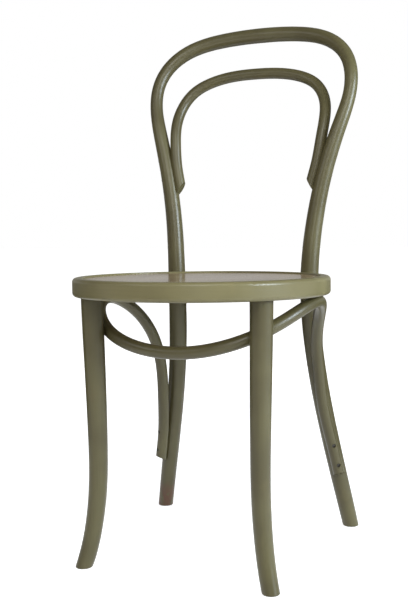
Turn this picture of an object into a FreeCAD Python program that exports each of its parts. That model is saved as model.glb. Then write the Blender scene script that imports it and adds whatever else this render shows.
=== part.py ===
"""Bentwood bistro chair: bent hoop and inner arch, round seat ring with a let-in panel,
two turned front legs and one bent brace that ties the four legs together.

Millimetres, +Z up, +Y to the back. The solids are drawn about the seat's centre and moved once,
when they are written, so that the origin is the centre of the footprint on the floor.
"""
import FreeCAD, Part
import math
import os

from FreeCAD import Vector

# Seat ring and panel
SEAT_RADIUS = 205.0
SEAT_HEIGHT = 456.0
RING_THICKNESS = 29.0
RING_WIDTH = 45.0
RING_ROUNDING = 6.0
RING_INNER_ROUNDING = 2.0
RIM_WIDTH = 16.5
RIM_EDGE_ROUNDING = 1.2
PANEL_THICKNESS = 6.0
PANEL_DROP = 2.5
PANEL_CLEARANCE = 0.25
PANEL_EDGE_ROUNDING = 0.6

# Hoop, one rod from back foot to back foot: where its axis runs on the right-hand side
POST_ANGLE = 34.8
POST_HOUSING = 1.2
POST_RADIUS = 15.7
BACK_FOOT_SPREAD = 58.0
BACK_FOOT_SPLAY = 61.0
BACK_FOOT_RADIUS = 14.0
WAIST_RISE = 99.0
SHOULDER_RISE = 315.0
SHOULDER_HALF_WIDTH = 184.0
SHOULDER_RADIUS = 11.5
CROWN_RISE = 446.5
CROWN_DEPTH = 297.0
CROWN_RADIUS = 13.4

# Inner arch
ARCH_RADIUS = 9.8
ARCH_FOOT_RISE = 158.0
ARCH_CROWN_DROP = 76.0
ARCH_CROWN_SETBACK = 39.0
ARCH_SIDE_SETBACK = 43.0
ARCH_LAP_LENGTH = 42.0
ARCH_LAP_DEPTH = 4.8
ARCH_BEVEL = 49.0

# Front legs: turned, tapered, flared outwards at the foot
LEG_ANGLE = 52.4
LEG_INSET = 29.0
LEG_TOP_RADIUS = 17.3
LEG_FOOT_RADIUS = 13.5
LEG_LEAN = 5.0
LEG_FLARE = 21.0
LEG_FLARE_HEIGHT = 130.0
TENON_RADIUS = 11.0
TENON_LENGTH = 14.0
FOOT_CHAMFER = 1.2

# Brace, one bent rod from back leg to back leg
BRACE_RADIUS = 10.0
BRACE_FOOT_HEIGHT = 99.0
BRACE_CLAMP_LENGTH = 53.0
BRACE_CLAMP_ANGLE = 20.0
BRACE_BEVEL = 26.0
BRACE_PEAK_RADIUS = 186.0
BRACE_PEAK_ANGLE = 80.0
BRACE_FRONT_DROP = 56.0
BRACE_SAG_DROP = 81.0
BRACE_SAG_DEPTH = 116.0

# Fasteners
BOLT_RADIUS = 4.0
BOLT_HEAD_RADIUS = 9.0
BOLT_HEAD_HEIGHT = 4.2
BOLT_HEAD_RECESS = 3.0
BOLT_TIP = 3.0
WASHER_RADIUS = 8.5
WASHER_THICKNESS = 1.6
NUT_ACROSS_FLATS = 13.0
NUT_THICKNESS = 6.5
SPOT_FACE_DEPTH = 1.0
SCREW_RADIUS = 2.0
SCREW_HEAD_RADIUS = 3.6
SCREW_HEAD_HEIGHT = 2.6
SCREW_RECESS = 2.2
SCREW_SLOT_WIDTH = 0.9
SCREW_SLOT_DEPTH = 1.1
SCREW_TIP = 5.0
BRACE_SCREW_SPACING = 37.5
BRACE_SCREW_MARGIN = 23.0
BRACE_SCREW_TURN = 14.0
ARCH_SCREW_SPACING = 36.0
ARCH_SCREW_MARGIN = 24.0
PLUG_LENGTH = 3.0
PLUG_SINK = 0.2
LOCK_SCREW_LENGTH = 20.0

# Fits
TOUCH_GAP = 0.15
HOLE_CLEARANCE = 0.1

# How a rod's skin is laid out: distance between its round sections, length of one patch, and
# control points round each section
SECTION_STEP = 24.0
PATCH_LENGTH = 144.0
SKIN_POLES = 8

# How far from a level an edge may lie and still count as lying on it
LEVEL_MARGIN = 0.01

# Heights and radii that follow from the sizes above
RING_BOTTOM = SEAT_HEIGHT - RING_THICKNESS
RING_MIDDLE = SEAT_HEIGHT - RING_THICKNESS / 2
RING_INNER_RADIUS = SEAT_RADIUS - RING_WIDTH
RIM_INNER_RADIUS = SEAT_RADIUS - RIM_WIDTH
PANEL_TOP = SEAT_HEIGHT - PANEL_DROP
LEDGE_HEIGHT = PANEL_TOP - PANEL_THICKNESS
BOLT_HEIGHT = (RING_BOTTOM + LEDGE_HEIGHT) / 2
LEG_CIRCLE_RADIUS = SEAT_RADIUS - LEG_INSET
ARCH_FOOT_HEIGHT = RING_MIDDLE + ARCH_FOOT_RISE
ARCH_HALF_WIDTH = SHOULDER_HALF_WIDTH - ARCH_SIDE_SETBACK
POST_CIRCLE_RADIUS = SEAT_RADIUS + POST_RADIUS - POST_HOUSING
ORIGIN_SHIFT = (SEAT_RADIUS - CROWN_DEPTH - CROWN_RADIUS) / 2

# Sides of the right-hand rods: where the arch lies beside the post, where the brace passes the leg
ARCH_SIDE = Vector(-1, 0.08, 0)
BEHIND_LEG = Vector(-0.66, 0.75, 0)
UP = Vector(0, 0, 1)
DOWN = Vector(0, 0, -1)


def mirrored(shape):
    """The left-hand twin of a right-hand shape."""
    return shape.mirror(Vector(0, 0, 0), Vector(1, 0, 0))


def pair(shape):
    """A right-hand solid and its left-hand twin as one group."""
    return Part.makeCompound([shape, mirrored(shape)])


def opposite(point):
    """A point of the right-hand side carried over to the left."""
    return Vector(-point.x, point.y, point.z)


def unit(vector):
    """A vector's direction."""
    return vector * (1 / vector.Length)


def across(direction, axis):
    """The part of a direction that is square to an axis, with unit length."""
    return unit(direction - axis * direction.dot(axis))


def from_back(radius, angle, height):
    """A point on a circle about the seat's centre, at an angle from straight back to the right."""
    turn = math.radians(angle)
    return Vector(radius * math.sin(turn), radius * math.cos(turn), height)


def between(start, end, x_share, y_share, z_share):
    """A point part of the way from one point to another, by its own share along each direction."""
    return Vector(
        start.x + (end.x - start.x) * x_share,
        start.y + (end.y - start.y) * y_share,
        start.z + (end.z - start.z) * z_share)


class Rod:
    """A bent round rod: a smooth axis through given points, with a radius at each point.

    seam is the side, at the first end, where the two halves of the skin meet clear of the holes.
    """

    def __init__(self, points, radii, seam):
        self.seam = seam
        self.knots = [0.0]
        for here, there in zip(points, points[1:]):
            self.knots.append(self.knots[-1] + (there - here).Length)
        self.radii = radii
        self.axis = Part.BSplineCurve()
        self.axis.interpolate(Points=points, Parameters=self.knots)

    def radius(self, place):
        """The rod's radius at a place along its axis."""
        for start, end, first, last in zip(self.knots, self.knots[1:], self.radii, self.radii[1:]):
            if place <= end:
                share = (place - start) / (end - start)
                return first + (last - first) * share
        return self.radii[-1]

    def point(self, place):
        return self.axis.value(place)

    def direction(self, place):
        return unit(self.axis.tangent(place)[0])

    def place_at_height(self, height):
        """The place on the rod's first rising stretch where its axis has a given height."""
        low = self.knots[0]
        high = next(k for k in self.knots if self.point(k).z > height)
        for _ in range(40):
            middle = (low + high) / 2
            if self.point(middle).z < height:
                low = middle
            else:
                high = middle
        return (low + high) / 2

    def beside(self, height, toward, other_radius, gap=TOUCH_GAP):
        """Where the axis of another rod runs that touches this one at a height."""
        place = self.place_at_height(height)
        side = across(toward, self.direction(place))
        return self.point(place) + side * (self.radius(place) + other_radius + gap)

    def solid(self, start=None, end=None, grow=0.0, level_ends=()):
        """The rod between two places: a smooth skin through round sections, closed by flat ends.

        level_ends names the ends, 0 for the first and 1 for the last, whose section lies level.
        """
        first = self.knots[0] if start is None else start
        last = self.knots[-1] if end is None else end
        count = max(4, math.ceil((last - first) / SECTION_STEP))
        places = [first + (last - first) * index / count for index in range(count + 1)]
        side = across(self.seam, self.direction(first))
        rings = []
        for place in places:
            along = self.direction(place)
            if (place - first) / (last - first) in level_ends:
                along = UP if along.z > 0 else DOWN
            side = across(side, along)
            rings.append(pole_ring(self.point(place), side, along.cross(side), self.radius(place) + grow))
        return closed_solid(skin_surface(rings, places), places)


def skin_surface(rings, places):
    """One smooth surface whose sections at the given places are the given rings."""
    rows = []
    for index in range(SKIN_POLES):
        path = Part.BSplineCurve()
        path.interpolate(Points=[ring[index] for ring in rings], Parameters=places)
        rows.append(path.getPoles())
    round_knots = [float(index) for index in range(SKIN_POLES + 1)]
    surface = Part.BSplineSurface()
    surface.buildFromPolesMultsKnots(
        rows, [1] * (SKIN_POLES + 1), path.getMultiplicities(),
        round_knots, path.getKnots(), True, False, 3, 3)
    return surface


def closed_solid(surface, places):
    """The solid inside a tube: its skin in short half-round patches, and a flat cap on each end."""
    halves = [(0, SKIN_POLES / 2), (SKIN_POLES / 2, SKIN_POLES)]
    sections = round(PATCH_LENGTH / SECTION_STEP)
    joints = places[:-1:sections] + [places[-1]]
    faces = []
    for low, high in zip(joints, joints[1:]):
        for begin, finish in halves:
            patch = surface.copy()
            patch.segment(begin, finish, low, high)
            faces.append(patch.toShape())
    for place in (places[0], places[-1]):
        circle = surface.vIso(place)
        arcs = [circle.toShape(begin, finish) for begin, finish in halves]
        faces.append(Part.Face(Part.Wire(arcs)))
    shell = Part.makeShell(faces)
    shell.sewShape()
    solid = Part.makeSolid(Part.Shell(shell.Faces))
    if solid.Volume < 0:
        solid.reverse()
    return solid


def pole_ring(centre, side, other, radius):
    """The control points of a closed cubic curve that runs round a circle."""
    swell = radius * 3 / (2 + math.cos(2 * math.pi / SKIN_POLES))
    ring = []
    for index in range(SKIN_POLES):
        turn = 2 * math.pi * index / SKIN_POLES
        ring.append(centre + side * (swell * math.cos(turn)) + other * (swell * math.sin(turn)))
    return ring


def cylinder(start, direction, radius, length):
    return Part.makeCylinder(radius, length, start, direction)


def floor_edges_broken(leg):
    """A leg with the edges that stand on the floor broken by a small chamfer."""
    low_edges = [edge for edge in leg.Edges if edge.BoundBox.ZMax < LEVEL_MARGIN]
    return leg.makeChamfer(FOOT_CHAMFER, low_edges)


def bevelled(shape, rod_radius, tip, end, away, angle):
    """A rod with both its ends cut on the same slant, longest on the side that faces the post.

    For the right-hand end, tip is its furthest point, end points out of it along the rod, and away
    points from the post to the rod.
    """
    size = 8 * rod_radius
    slant = math.radians(angle)
    normal = end * math.cos(slant) + away * math.sin(slant)
    block = Part.makeBox(size, size, size, Vector(-size / 2, -size / 2, 0))
    turn = FreeCAD.Rotation(UP, normal)
    block.Placement = FreeCAD.Placement(tip, turn).multiply(block.Placement)
    return cut_on_both_sides(shape, [block])


def cut_on_both_sides(shape, cuts):
    """A shape less some right-hand cuts and their left-hand twins."""
    for cut in cuts:
        shape = shape.cut([cut, mirrored(cut)])
    return shape


def hoop_rod():
    """The axis and taper of the hoop: back foot, post, shoulder, crown and down again."""
    seat = from_back(POST_CIRCLE_RADIUS, POST_ANGLE, RING_MIDDLE)

    def leg(spread, splay, share):
        return Vector(seat.x + BACK_FOOT_SPREAD * spread, seat.y + BACK_FOOT_SPLAY * splay, RING_MIDDLE * share)

    def back(width_share, depth_share, rise):
        width = seat.x + (SHOULDER_HALF_WIDTH - seat.x) * width_share
        depth = seat.y + (CROWN_DEPTH - seat.y) * depth_share
        return Vector(width, depth, RING_MIDDLE + rise)

    over = CROWN_RISE - SHOULDER_RISE
    crown = Vector(0, CROWN_DEPTH, RING_MIDDLE + CROWN_RISE)
    rising = [
        (leg(1, 1, 0), BACK_FOOT_RADIUS),
        (leg(0.58, 0.65, 0.29), BACK_FOOT_RADIUS * 0.4 + POST_RADIUS * 0.6),
        (leg(0.23, 0.36, 0.56), BACK_FOOT_RADIUS * 0.1 + POST_RADIUS * 0.9),
        (leg(0.045, 0.13, 0.79), POST_RADIUS * 1.025),
        (seat, POST_RADIUS),
        (back(0.12, 0.064, WAIST_RISE), POST_RADIUS * 0.93),
        (back(0.46, 0.18, WAIST_RISE * 0.51 + SHOULDER_RISE * 0.49), POST_RADIUS * 0.5 + SHOULDER_RADIUS * 0.5),
        (back(0.79, 0.285, SHOULDER_RISE * 0.86), POST_RADIUS * 0.25 + SHOULDER_RADIUS * 0.75),
        (back(0.985, 0.385, SHOULDER_RISE), SHOULDER_RADIUS),
        (back(0.985, 0.5, SHOULDER_RISE + over * 0.335), SHOULDER_RADIUS),
        (back(0.72, 0.64, SHOULDER_RISE + over * 0.61), SHOULDER_RADIUS * 0.8 + CROWN_RADIUS * 0.2),
        (back(0.125, 0.79, SHOULDER_RISE + over * 0.83), SHOULDER_RADIUS * 0.45 + CROWN_RADIUS * 0.55),
        (Vector(SHOULDER_HALF_WIDTH * 0.42, seat.y + (CROWN_DEPTH - seat.y) * 0.92, crown.z - over * 0.045),
         SHOULDER_RADIUS * 0.2 + CROWN_RADIUS * 0.8),
    ]
    falling = [(opposite(point), radius) for point, radius in reversed(rising)]
    stations = rising + [(crown, CROWN_RADIUS)] + falling
    points = [point for point, _ in stations]
    radii = [radius for _, radius in stations]
    return Rod(points, radii, seam=Vector(-0.8, 0.6, 0))


def arch_rod(hoop):
    """The axis of the inner arch: lapped onto each post, then free, and across under the crown."""
    laps = [(-0.2, 1.0), (0.4, 1.0), (1.0, 0.95), (1.7, 0.03)]
    clamped = []
    for share, depth in laps:
        height = ARCH_FOOT_HEIGHT + ARCH_LAP_LENGTH * share
        clamped.append(hoop.beside(height, ARCH_SIDE, ARCH_RADIUS, TOUCH_GAP - ARCH_LAP_DEPTH * depth))
    left_post = clamped[-1]
    crown = Vector(0, CROWN_DEPTH - ARCH_CROWN_SETBACK, RING_MIDDLE + CROWN_RISE - ARCH_CROWN_DROP)
    rise = crown.z - left_post.z
    depth = crown.y - left_post.y
    free = [
        Vector(ARCH_HALF_WIDTH, left_post.y + depth * 0.27, left_post.z + rise * 0.33),
        Vector(ARCH_HALF_WIDTH * 0.975, left_post.y + depth * 0.56, left_post.z + rise * 0.55),
        Vector(ARCH_HALF_WIDTH * 0.84, left_post.y + depth * 0.86, left_post.z + rise * 0.79),
        Vector(ARCH_HALF_WIDTH * 0.55, left_post.y + depth * 1.04, left_post.z + rise * 0.945),
    ]
    rising = clamped + free
    points = rising + [crown] + [opposite(point) for point in reversed(rising)]
    return Rod(points, [ARCH_RADIUS] * len(points), seam=Vector(0, 1, 0))


def front_leg_rod():
    """The axis and taper of the right front leg, in an upright plane through the seat's centre."""
    def station(offset, height):
        return from_back(LEG_CIRCLE_RADIUS + offset, 180 - LEG_ANGLE, height)

    straight = RING_BOTTOM - LEG_FLARE_HEIGHT
    stations = [
        (station(LEG_FLARE, 0), 0.0),
        (station(LEG_FLARE * 0.44, LEG_FLARE_HEIGHT * 0.29), 0.07),
        (station(LEG_FLARE * 0.07, LEG_FLARE_HEIGHT * 0.6), 0.17),
        (station(-LEG_LEAN * 0.8, LEG_FLARE_HEIGHT), 0.31),
        (station(-LEG_LEAN, LEG_FLARE_HEIGHT + straight * 0.27), 0.49),
        (station(-LEG_LEAN * 0.5, LEG_FLARE_HEIGHT + straight * 0.65), 0.81),
        (station(0, RING_BOTTOM), 1.0),
    ]
    radii = [LEG_FOOT_RADIUS + (LEG_TOP_RADIUS - LEG_FOOT_RADIUS) * share for _, share in stations]
    return Rod([point for point, _ in stations], radii, seam=Vector(0.8, -0.6, 0))


def brace_rod(hoop, leg):
    """The axis of the brace: up the back leg, under the ring, round behind the front legs."""
    lean = math.radians(BRACE_CLAMP_ANGLE)
    forward = Vector(math.sin(lean), -math.cos(lean), 0)
    low = hoop.beside(BRACE_FOOT_HEIGHT, forward, BRACE_RADIUS)
    high = hoop.beside(BRACE_FOOT_HEIGHT + BRACE_CLAMP_LENGTH, forward, BRACE_RADIUS)
    start = low + (low - high) * 0.25
    peak = from_back(BRACE_PEAK_RADIUS, BRACE_PEAK_ANGLE, RING_BOTTOM - BRACE_RADIUS - TOUCH_GAP)

    def climb(x_share, y_share, z_share):
        place = between(high, peak, 0, y_share, z_share)
        place.x = high.x * x_share
        return place

    at_leg = leg.beside(RING_BOTTOM - BRACE_FRONT_DROP, BEHIND_LEG, BRACE_RADIUS)
    sag = Vector(0, -BRACE_SAG_DEPTH, RING_BOTTOM - BRACE_SAG_DROP)
    right = [
        start,
        low,
        high,
        climb(0.937, 0.118, 0.25),
        climb(0.912, 0.249, 0.565),
        climb(0.942, 0.411, 0.755),
        climb(1.022, 0.605, 0.895),
        peak,
        between(peak, at_leg, 0.161, 0.449, 0.21),
        between(peak, at_leg, 0.557, 0.786, 0.65),
        at_leg,
        between(at_leg, sag, 0.46, 0.83, 0.72),
    ]
    points = right + [sag] + [opposite(point) for point in reversed(right)]
    return Rod(points, [BRACE_RADIUS] * len(points), seam=Vector(-0.6, -0.8, 0))


def countersunk_screw(start, direction, length):
    """A wood screw and the hole it sits in; start is where its line enters the wood."""
    head_seat = start + direction * SCREW_RECESS
    head = Part.makeCone(SCREW_HEAD_RADIUS, SCREW_RADIUS, SCREW_HEAD_HEIGHT, head_seat, direction)
    neck = head_seat + direction * SCREW_HEAD_HEIGHT
    straight = length - SCREW_HEAD_HEIGHT - SCREW_TIP
    shank = cylinder(neck, direction, SCREW_RADIUS, straight)
    tip = Part.makeCone(SCREW_RADIUS, 0, SCREW_TIP, neck + direction * straight, direction)
    body = head.fuse([shank, tip])
    slot = Part.makeBox(
        SCREW_SLOT_WIDTH, 2 * SCREW_HEAD_RADIUS, SCREW_SLOT_DEPTH,
        Vector(-SCREW_SLOT_WIDTH / 2, -SCREW_HEAD_RADIUS, 0))
    slot.Placement = FreeCAD.Placement(head_seat, FreeCAD.Rotation(UP, direction)).multiply(slot.Placement)
    mouth = cylinder(start - direction * SCREW_RECESS, direction, SCREW_HEAD_RADIUS, 2 * SCREW_RECESS)
    return body.cut(slot), body.fuse(mouth)


def carriage_bolt(hoop):
    """The right post's bolt with its washer and nut, and the holes they need."""
    place = hoop.place_at_height(BOLT_HEIGHT)
    axis_point = hoop.point(place)
    inward = unit(Vector(-axis_point.x, -axis_point.y, 0))
    seat = axis_point - inward * (hoop.radius(place) - BOLT_HEAD_RECESS)
    ball_radius = (BOLT_HEAD_RADIUS ** 2 + BOLT_HEAD_HEIGHT ** 2) / (2 * BOLT_HEAD_HEIGHT)
    ball_centre = seat + inward * (ball_radius - BOLT_HEAD_HEIGHT)
    latitude = math.degrees(math.asin(1 - BOLT_HEAD_HEIGHT / ball_radius))
    head = Part.makeSphere(ball_radius, ball_centre, -inward, latitude, 90, 360)
    to_centre = Vector(seat.x, seat.y, 0).Length
    washer_face = to_centre - RING_INNER_RADIUS - SPOT_FACE_DEPTH
    length = washer_face + WASHER_THICKNESS + NUT_THICKNESS + BOLT_TIP
    bolt = head.fuse(cylinder(seat, inward, BOLT_RADIUS, length))
    washer_start = seat + inward * washer_face
    washer = cylinder(washer_start, inward, WASHER_RADIUS, WASHER_THICKNESS).cut(bolt)
    nut_start = washer_start + inward * WASHER_THICKNESS
    corner_radius = NUT_ACROSS_FLATS / math.sqrt(3)
    corners = []
    for step in range(7):
        turn = math.radians(60 * step)
        corners.append(Vector(corner_radius * math.cos(turn), corner_radius * math.sin(turn), 0))
    hexagon = Part.Face(Part.makePolygon(corners)).extrude(Vector(0, 0, NUT_THICKNESS))
    hexagon.Placement = FreeCAD.Placement(nut_start, FreeCAD.Rotation(UP, inward))
    nut = hexagon.cut(bolt)
    recess = cylinder(seat, -inward, BOLT_HEAD_RADIUS + HOLE_CLEARANCE, 2 * BOLT_HEAD_RECESS)
    shank_hole = cylinder(seat, inward, BOLT_RADIUS + HOLE_CLEARANCE, length)
    spot_face = cylinder(washer_start, inward, WASHER_RADIUS + HOLE_CLEARANCE, NUT_THICKNESS)
    return bolt, washer, nut, recess.fuse(shank_hole), shank_hole.fuse(spot_face)


def leg_lock():
    """The screw that goes through the ring's inner wall into the right leg's tenon, and its hole."""
    start = from_back(RING_INNER_RADIUS, 180 - LEG_ANGLE, RING_BOTTOM + TENON_LENGTH / 2)
    outward = unit(Vector(start.x, start.y, 0))
    return countersunk_screw(start, outward, LOCK_SCREW_LENGTH)


def brace_end_fixings(brace):
    """The two screws that hold the brace's right end to the back leg, and their holes."""
    turn = math.radians(BRACE_CLAMP_ANGLE + BRACE_SCREW_TURN)
    toward_leg = Vector(-math.sin(turn), math.cos(turn), 0)
    screws = []
    holes = []
    for step in range(2):
        place = brace.knots[1] + BRACE_SCREW_MARGIN + step * BRACE_SCREW_SPACING
        inward = across(toward_leg, brace.direction(place))
        start = brace.point(place) - inward * BRACE_RADIUS
        screw, hole = countersunk_screw(start, inward, 2 * BRACE_RADIUS + BACK_FOOT_RADIUS)
        screws.append(screw)
        holes.append(hole)
    return screws, holes


def brace_peak_fixing():
    """The screw that goes up through the brace's highest point into the ring, and its hole."""
    start = from_back(BRACE_PEAK_RADIUS, BRACE_PEAK_ANGLE, RING_BOTTOM - 2 * BRACE_RADIUS)
    length = 2 * BRACE_RADIUS + (LEDGE_HEIGHT - RING_BOTTOM) / 2 - SCREW_RECESS
    return countersunk_screw(start, UP, length)


def brace_leg_fixing(leg):
    """The screw that goes through the brace into the right front leg from behind, and its hole."""
    place = leg.place_at_height(RING_BOTTOM - BRACE_FRONT_DROP)
    behind = across(BEHIND_LEG, leg.direction(place))
    start = leg.point(place) + behind * (leg.radius(place) + 2 * BRACE_RADIUS)
    return countersunk_screw(start, -behind, 2 * BRACE_RADIUS + leg.radius(place))


def arch_fixings(hoop):
    """The two screws from the right post into the arch, their holes, and the plugs over them."""
    screws = []
    holes = []
    plugs = []
    for step in range(2):
        place = hoop.place_at_height(ARCH_FOOT_HEIGHT + ARCH_SCREW_MARGIN + step * ARCH_SCREW_SPACING)
        inward = across(ARCH_SIDE, hoop.direction(place))
        skin = hoop.point(place) - inward * hoop.radius(place)
        length = 2 * hoop.radius(place) - PLUG_LENGTH + ARCH_RADIUS
        screw, hole = countersunk_screw(skin + inward * PLUG_LENGTH, inward, length)
        bore = cylinder(skin - inward * PLUG_LENGTH, inward, SCREW_HEAD_RADIUS, 2 * PLUG_LENGTH)
        plug_length = PLUG_LENGTH + SCREW_RECESS - PLUG_SINK
        screws.append(screw)
        holes.append(hole.fuse(bore))
        plugs.append(cylinder(skin + inward * PLUG_SINK, inward, SCREW_HEAD_RADIUS, plug_length))
    return screws, holes, plugs


def back_hoop(hoop, holes):
    """The hoop with its feet trued to the floor and its holes bored."""
    return cut_on_both_sides(floor_edges_broken(hoop.solid(level_ends=(0, 1))), holes)


def inner_arch(arch, hoop, holes):
    """The arch with its slanted ends, hollowed to lie against the posts."""
    start = arch.place_at_height(ARCH_FOOT_HEIGHT)
    end = -arch.direction(start)
    away = across(ARCH_SIDE, end)
    tip = arch.point(start) - away * (ARCH_RADIUS - ARCH_LAP_DEPTH)
    shape = bevelled(arch.solid(), ARCH_RADIUS, tip, end, away, ARCH_BEVEL)
    lap_foot = hoop.place_at_height(ARCH_FOOT_HEIGHT - ARCH_LAP_LENGTH)
    lap_top = hoop.place_at_height(ARCH_FOOT_HEIGHT + ARCH_LAP_LENGTH * 2.4)
    lap = hoop.solid(lap_foot, lap_top, TOUCH_GAP)
    return cut_on_both_sides(shape, [lap] + holes)


def leg_brace(brace, hoop, holes):
    """The brace with its slanted ends and its screw holes."""
    foot = brace.point(brace.knots[1])
    end = -brace.direction(brace.knots[1])
    post = hoop.point(hoop.place_at_height(foot.z))
    away = across(Vector(foot.x - post.x, foot.y - post.y, 0), end)
    tip = foot - away * BRACE_RADIUS
    shape = bevelled(brace.solid(), BRACE_RADIUS, tip, end, away, BRACE_BEVEL)
    return cut_on_both_sides(shape, holes)


def front_leg(leg, tenon, holes):
    """The right front leg with its tenon and holes."""
    return floor_edges_broken(leg.solid(level_ends=(0, 1))).fuse(tenon).cut(holes)


def ring_profile():
    """The ring's section: rounded outside, with a rabbet for the panel inside."""
    outer = SEAT_RADIUS
    rim = RIM_INNER_RADIUS
    bore = RING_INNER_RADIUS
    top = SEAT_HEIGHT
    bottom = RING_BOTTOM
    big = RING_ROUNDING
    corner = big * (1 - math.sqrt(0.5))
    small = RING_INNER_ROUNDING
    small_corner = small * (1 - math.sqrt(0.5))
    edge = RIM_EDGE_ROUNDING
    edge_corner = edge * (1 - math.sqrt(0.5))

    def at(radius, height):
        return Vector(radius, 0, height)

    pieces = [
        Part.LineSegment(at(bore + small, bottom), at(outer - big, bottom)),
        Part.Arc(at(outer - big, bottom), at(outer - corner, bottom + corner), at(outer, bottom + big)),
        Part.LineSegment(at(outer, bottom + big), at(outer, top - big)),
        Part.Arc(at(outer, top - big), at(outer - corner, top - corner), at(outer - big, top)),
        Part.LineSegment(at(outer - big, top), at(rim + edge, top)),
        Part.Arc(at(rim + edge, top), at(rim + edge_corner, top - edge_corner), at(rim, top - edge)),
        Part.LineSegment(at(rim, top - edge), at(rim, LEDGE_HEIGHT)),
        Part.LineSegment(at(rim, LEDGE_HEIGHT), at(bore, LEDGE_HEIGHT)),
        Part.LineSegment(at(bore, LEDGE_HEIGHT), at(bore, bottom + small)),
        Part.Arc(
            at(bore, bottom + small), at(bore + small_corner, bottom + small_corner), at(bore + small, bottom)),
    ]
    return Part.Face(Part.Wire([piece.toShape() for piece in pieces]))


def seat_ring(hoop, holes):
    """The ring, hollowed where it is housed against the posts, with its holes."""
    ring = ring_profile().revolve(Vector(0, 0, 0), UP, 360)
    middle = hoop.place_at_height(RING_MIDDLE)
    post = hoop.solid(middle - RING_THICKNESS, middle + RING_THICKNESS, TOUCH_GAP)
    return cut_on_both_sides(ring, [post] + holes)


def seat_panel():
    """The round panel that lies in the rabbet."""
    radius = RIM_INNER_RADIUS - PANEL_CLEARANCE
    disc = cylinder(Vector(0, 0, LEDGE_HEIGHT), UP, radius, PANEL_THICKNESS)
    top_edges = [edge for edge in disc.Edges if edge.BoundBox.ZMin > PANEL_TOP - LEVEL_MARGIN]
    return disc.makeFillet(PANEL_EDGE_ROUNDING, top_edges)


def build():
    """Every node of the chair by name."""
    hoop = hoop_rod()
    leg = front_leg_rod()
    arch = arch_rod(hoop)
    brace = brace_rod(hoop, leg)

    bolt, washer, nut, post_hole, ring_hole = carriage_bolt(hoop)
    lock_screw, lock_hole = leg_lock()
    end_screws, end_holes = brace_end_fixings(brace)
    peak_screw, peak_hole = brace_peak_fixing()
    leg_screw, leg_hole = brace_leg_fixing(leg)
    arch_screws, arch_holes, arch_plugs = arch_fixings(hoop)

    leg_top = leg.point(leg.knots[-1])
    tenon = cylinder(leg_top, UP, TENON_RADIUS, TENON_LENGTH)
    mortise = cylinder(leg_top, UP, TENON_RADIUS + HOLE_CLEARANCE, TENON_LENGTH + HOLE_CLEARANCE)
    right_leg = front_leg(leg, tenon, [leg_hole, lock_hole])

    return {
        "back_hoop": back_hoop(hoop, [post_hole] + end_holes + arch_holes),
        "inner_arch": inner_arch(arch, hoop, arch_holes),
        "seat_ring": seat_ring(hoop, [ring_hole, mortise, lock_hole, peak_hole]),
        "seat_panel": seat_panel(),
        "front_leg_right": right_leg,
        "front_leg_left": mirrored(right_leg),
        "leg_brace": leg_brace(brace, hoop, end_holes + [peak_hole, leg_hole]),
        "back_bolts": pair(bolt),
        "back_washers": pair(washer),
        "back_nuts": pair(nut),
        "leg_lock_screws": pair(lock_screw),
        "brace_end_screws": Part.makeCompound([pair(screw) for screw in end_screws]),
        "brace_ring_screws": pair(peak_screw),
        "brace_leg_screws": pair(leg_screw),
        "arch_screws": Part.makeCompound([pair(screw) for screw in arch_screws]),
        "arch_plugs": Part.makeCompound([pair(plug) for plug in arch_plugs]),
    }


def main():
    os.makedirs("parts", exist_ok=True)
    for name, shape in build().items():
        placed = shape.copy()
        placed.translate(Vector(0, ORIGIN_SHIFT, 0))
        placed.exportStep(os.path.join("parts", name + ".step"))
        print(name, len(placed.Solids), round(placed.Volume), placed.isValid())


main()
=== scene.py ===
"""Bentwood bistro chair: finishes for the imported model, its small fasteners and a plain studio.

The file is laid out as a Blender add-on and is run as a script. Lengths are metres in the model's
own frame: +Z up, -Y to the sitter's front, origin on the floor under the middle of the chair.
"""

import math

import bmesh
import bpy
from bpy.props import FloatProperty, FloatVectorProperty, IntProperty, PointerProperty
from mathutils import Matrix, Vector


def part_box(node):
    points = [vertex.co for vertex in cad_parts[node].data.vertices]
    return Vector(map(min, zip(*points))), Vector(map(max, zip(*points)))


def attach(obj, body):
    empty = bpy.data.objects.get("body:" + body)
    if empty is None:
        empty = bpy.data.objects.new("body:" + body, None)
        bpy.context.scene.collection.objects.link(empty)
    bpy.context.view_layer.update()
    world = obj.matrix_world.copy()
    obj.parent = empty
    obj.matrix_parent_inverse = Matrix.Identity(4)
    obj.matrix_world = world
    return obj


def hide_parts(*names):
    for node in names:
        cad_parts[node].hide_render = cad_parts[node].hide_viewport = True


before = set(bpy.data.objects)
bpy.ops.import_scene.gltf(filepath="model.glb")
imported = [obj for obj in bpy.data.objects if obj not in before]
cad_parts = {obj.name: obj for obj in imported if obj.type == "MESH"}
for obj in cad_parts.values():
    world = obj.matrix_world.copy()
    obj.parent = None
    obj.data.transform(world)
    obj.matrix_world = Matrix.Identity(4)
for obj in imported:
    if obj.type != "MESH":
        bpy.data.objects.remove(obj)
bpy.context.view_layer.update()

bl_info = {
    "name": "Bentwood Bistro Chair",
    "version": (1, 0, 0),
    "blender": (4, 5, 0),
    "location": "3D Viewport > Sidebar > Chair",
    "description": "Paints a bentwood chair, sets its fasteners and lights it on a plain floor",
    "category": "Object",
}

BODY = "root"
LEG_PAINT_NODES = ("front_leg_left", "front_leg_right", "arch_plugs")
STEEL_NODES = ("back_bolts", "back_washers", "back_nuts")
SCREW_NODES = (
    "leg_lock_screws", "brace_end_screws", "brace_ring_screws", "brace_leg_screws", "arch_screws")

RING_LOW, RING_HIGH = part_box("seat_ring")
BRACE_LOW, BRACE_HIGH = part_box("leg_brace")
SEAT_CENTRE = (RING_LOW + RING_HIGH) / 2
SEAT_RADIUS = (RING_HIGH.x - RING_LOW.x) / 2
CHAIR_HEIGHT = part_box("back_hoop")[1].z
ARCH_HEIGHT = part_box("inner_arch")[1].z

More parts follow.
